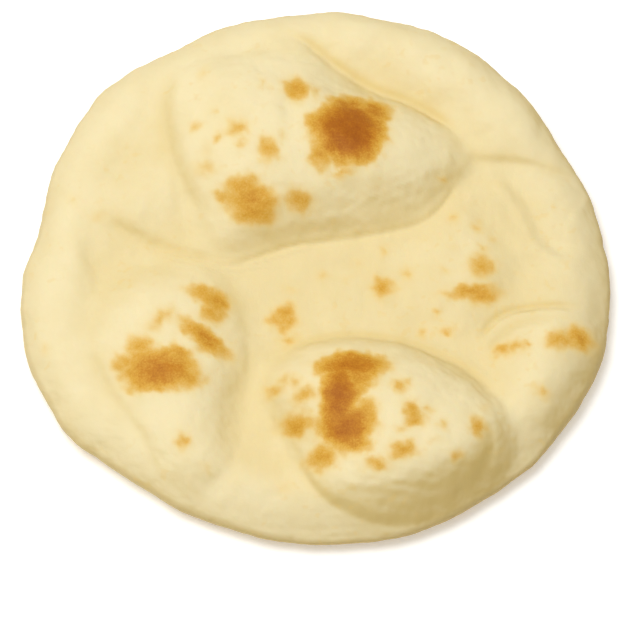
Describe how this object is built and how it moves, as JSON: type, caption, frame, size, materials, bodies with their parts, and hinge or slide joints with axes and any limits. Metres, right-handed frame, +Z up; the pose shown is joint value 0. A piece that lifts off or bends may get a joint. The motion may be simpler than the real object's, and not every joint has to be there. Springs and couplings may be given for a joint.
{
  "type": "naan bread",
  "caption": "Round leavened flatbread with a soft puffed rim, large rounded blisters and toasted brown marks on top, and a flat underside.",
  "frame": {"origin": "on the table, under the middle of the bread's bounding box", "axes": "+Z up out of the blistered top; +X to the right across the widest part; -Y is the front edge"},
  "size_m": [0.1814, 0.1802, 0.025],
  "materials": {
    "baked_dough": "matt pale cream baked dough with toasted golden to brown marks"
  },
  "bodies": {
    "root": {"naan_bread": "baked_dough"}
  },
  "joints": []
}
